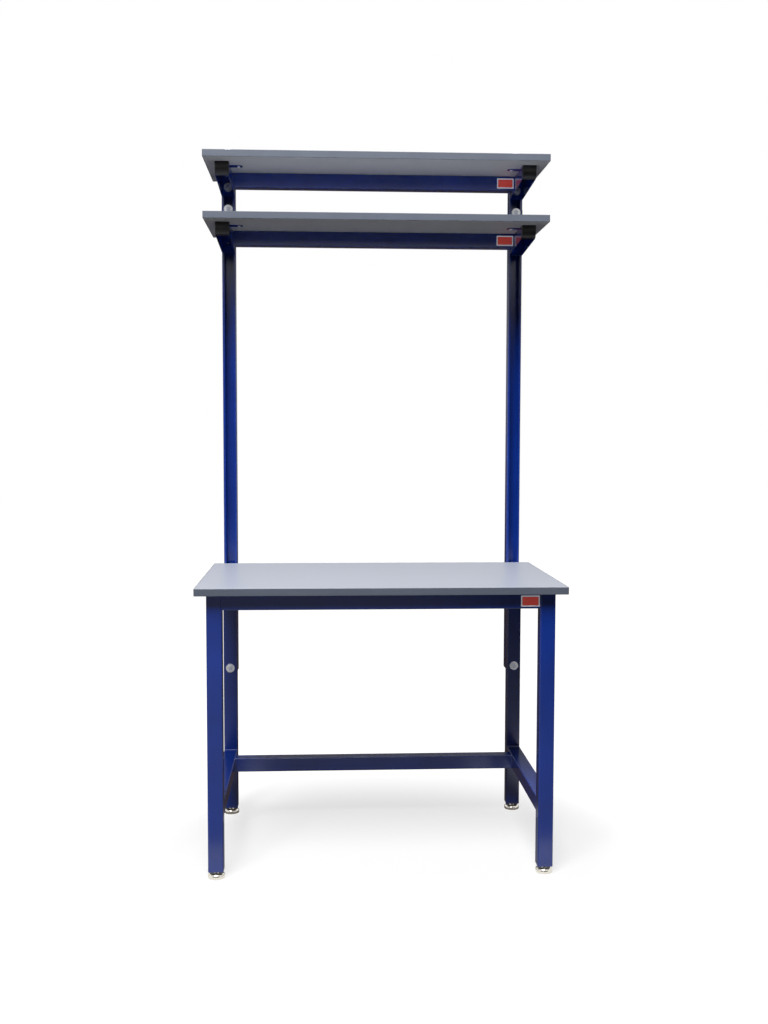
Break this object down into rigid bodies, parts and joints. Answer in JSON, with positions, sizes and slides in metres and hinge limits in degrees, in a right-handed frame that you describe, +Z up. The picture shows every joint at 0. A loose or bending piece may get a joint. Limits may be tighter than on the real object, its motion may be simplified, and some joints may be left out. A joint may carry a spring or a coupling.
{
  "type": "workbench",
  "caption": "Standing workbench with a laminated top on a blue square-tube frame, levelling glides, slotted uprights and cantilevered overhead shelves.",
  "frame": {"origin": "on the floor, in the middle of the bounding box's footprint", "axes": "+Z up, +X to the bench's right as seen by the person working at it, +Y from its front edge to its uprights"},
  "size_m": [1.2192, 0.8124, 2.5432],
  "materials": {
    "blue_paint": "glossy dark blue powder coat",
    "laminated_board": "particle board faced with pale grey laminate",
    "edge_band": "satin dark grey edge band",
    "zinc": "bright zinc plating",
    "plug_steel": "plain steel",
    "black_plastic": "fine-grained black plastic",
    "red_label": "plain red plate with a pale border"
  },
  "bodies": {
    "bench_frame": {"worktop_board": "laminated_board", "worktop_edge_band": "edge_band", "front_left_leg": "blue_paint", "front_right_leg": "blue_paint", "rear_left_leg": "blue_paint", "rear_right_leg": "blue_paint", "front_apron": "blue_paint", "rear_apron": "blue_paint", "left_apron": "blue_paint", "right_apron": "blue_paint", "left_low_rail": "blue_paint", "right_low_rail": "blue_paint", "low_cross_rail": "blue_paint", "front_label": "red_label", "front_left_leg_plug": "plug_steel", "front_right_leg_plug": "plug_steel", "rear_left_leg_plug": "plug_steel", "rear_right_leg_plug": "plug_steel", "left_upright": "blue_paint", "right_upright": "blue_paint", "left_upright_bolt_low": "zinc", "left_upright_bolt_high": "zinc", "right_upright_bolt_low": "zinc", "right_upright_bolt_high": "zinc", "left_upright_nut_strip": "zinc", "right_upright_nut_strip": "zinc"},
    "lower_shelf": {"lower_shelf_board": "laminated_board", "lower_shelf_edge_band": "edge_band", "lower_shelf_left_arm": "blue_paint", "lower_shelf_right_arm": "blue_paint", "lower_shelf_rail": "blue_paint", "lower_shelf_label": "red_label", "lower_shelf_left_arm_cap": "black_plastic", "lower_shelf_right_arm_cap": "black_plastic", "lower_shelf_left_screw": "zinc", "lower_shelf_right_screw": "zinc", "lower_shelf_left_bolt_high": "zinc", "lower_shelf_right_bolt_high": "zinc", "lower_shelf_left_nut_strip": "zinc", "lower_shelf_right_nut_strip": "zinc"},
    "upper_shelf": {"upper_shelf_board": "laminated_board", "upper_shelf_edge_band": "edge_band", "upper_shelf_left_arm": "blue_paint", "upper_shelf_right_arm": "blue_paint", "upper_shelf_rail": "blue_paint", "upper_shelf_label": "red_label", "upper_shelf_left_arm_cap": "black_plastic", "upper_shelf_right_arm_cap": "black_plastic", "upper_shelf_left_screw": "zinc", "upper_shelf_right_screw": "zinc", "upper_shelf_left_bolt_high": "zinc", "upper_shelf_right_bolt_high": "zinc", "upper_shelf_left_bolt_low": "zinc", "upper_shelf_right_bolt_low": "zinc", "upper_shelf_left_nut_strip": "zinc", "upper_shelf_right_nut_strip": "zinc"},
    "front_left_foot": {"front_left_glide": "zinc"},
    "front_right_foot": {"front_right_glide": "zinc"},
    "rear_left_foot": {"rear_left_glide": "zinc"},
    "rear_right_foot": {"rear_right_glide": "zinc"}
  },
  "joints": [
    {"name": "lower_shelf_height", "type": "slide", "parent": "bench_frame", "child": "lower_shelf", "axis": [0, 0, 1], "range_m": [-1.1, 0]},
    {"name": "upper_shelf_height", "type": "slide", "parent": "bench_frame", "child": "upper_shelf", "axis": [0, 0, 1], "range_m": [-0.02, 0]},
    {"name": "front_left_levelling", "type": "slide", "parent": "bench_frame", "child": "front_left_foot", "axis": [0, 0, 1], "range_m": [-0.025, 0.005]},
    {"name": "front_right_levelling", "type": "slide", "parent": "bench_frame", "child": "front_right_foot", "axis": [0, 0, 1], "range_m": [-0.025, 0.005]},
    {"name": "rear_left_levelling", "type": "slide", "parent": "bench_frame", "child": "rear_left_foot", "axis": [0, 0, 1], "range_m": [-0.025, 0.005]},
    {"name": "rear_right_levelling", "type": "slide", "parent": "bench_frame", "child": "rear_right_foot", "axis": [0, 0, 1], "range_m": [-0.025, 0.005]}
  ]
}
